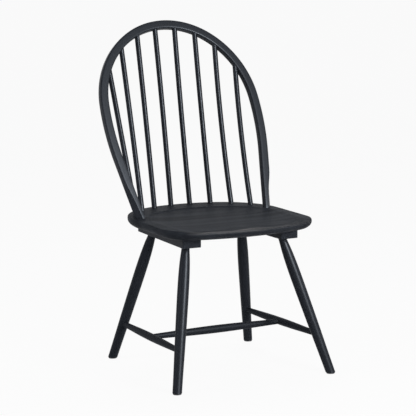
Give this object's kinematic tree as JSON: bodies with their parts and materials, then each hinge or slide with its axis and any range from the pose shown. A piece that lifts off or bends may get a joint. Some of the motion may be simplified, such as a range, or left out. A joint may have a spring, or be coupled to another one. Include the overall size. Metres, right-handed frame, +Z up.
{
  "type": "windsor chair",
  "caption": "Hoop-back windsor side chair in black paint: bent bow, turned spindles, dished seat on battens, splayed turned legs and an H stretcher.",
  "frame": {"origin": "on the floor, in the middle of the overall box", "axes": "the chair faces -Y, +X is to the right as seen from the front, +Z is up"},
  "size_m": [0.5406, 0.6154, 1.0186],
  "materials": {
    "seat_wood": "satin black paint over a glued-up board, grain showing faintly through",
    "bow_wood": "satin black paint over steam-bent wood, grain along the bow",
    "spindle_wood": "satin black paint over turned wood",
    "batten_wood": "satin black paint over sawn wood",
    "leg_wood": "satin black paint over turned wood",
    "bolt_steel": "zinc-plated steel",
    "insert_brass": "plain brass",
    "glide_plastic": "black nylon"
  },
  "bodies": {
    "root": {"seat": "seat_wood", "hoop": "bow_wood", "spindle_1": "spindle_wood", "spindle_2": "spindle_wood", "spindle_3": "spindle_wood", "spindle_4": "spindle_wood", "spindle_5": "spindle_wood", "spindle_6": "spindle_wood", "spindle_7": "spindle_wood", "spindle_8": "spindle_wood", "batten_left": "batten_wood", "leg_front_left": "leg_wood", "leg_rear_left": "leg_wood", "side_stretcher_left": "leg_wood", "batten_right": "batten_wood", "leg_front_right": "leg_wood", "leg_rear_right": "leg_wood", "side_stretcher_right": "leg_wood", "middle_stretcher": "leg_wood", "batten_bolts": "bolt_steel", "bolt_washers": "bolt_steel", "threaded_inserts": "insert_brass", "hoop_screws": "bolt_steel", "foot_glides": "glide_plastic"}
  },
  "joints": []
}
